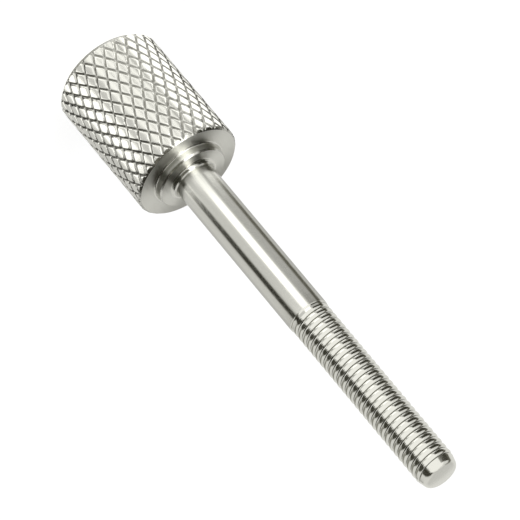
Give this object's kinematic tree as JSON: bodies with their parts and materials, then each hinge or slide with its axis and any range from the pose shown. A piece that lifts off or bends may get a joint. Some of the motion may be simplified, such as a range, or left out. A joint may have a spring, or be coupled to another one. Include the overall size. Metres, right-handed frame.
{
  "type": "knurled thumb-head shoulder bolt",
  "caption": "Turned steel shoulder bolt with a tall diamond-knurled round head, a low boss under it, a plain shank and a long right-hand threaded end.",
  "frame": {"origin": "centre of the head's flat top, on which the bolt stands", "axes": "+Z along the shank, from the flat top of the head to the threaded tip"},
  "size_m": [0.0164, 0.0164, 0.0811],
  "materials": {
    "steel": "bright turned steel, polished shank and satin end faces"
  },
  "bodies": {
    "root": {"shoulder_bolt": "steel"}
  },
  "joints": []
}
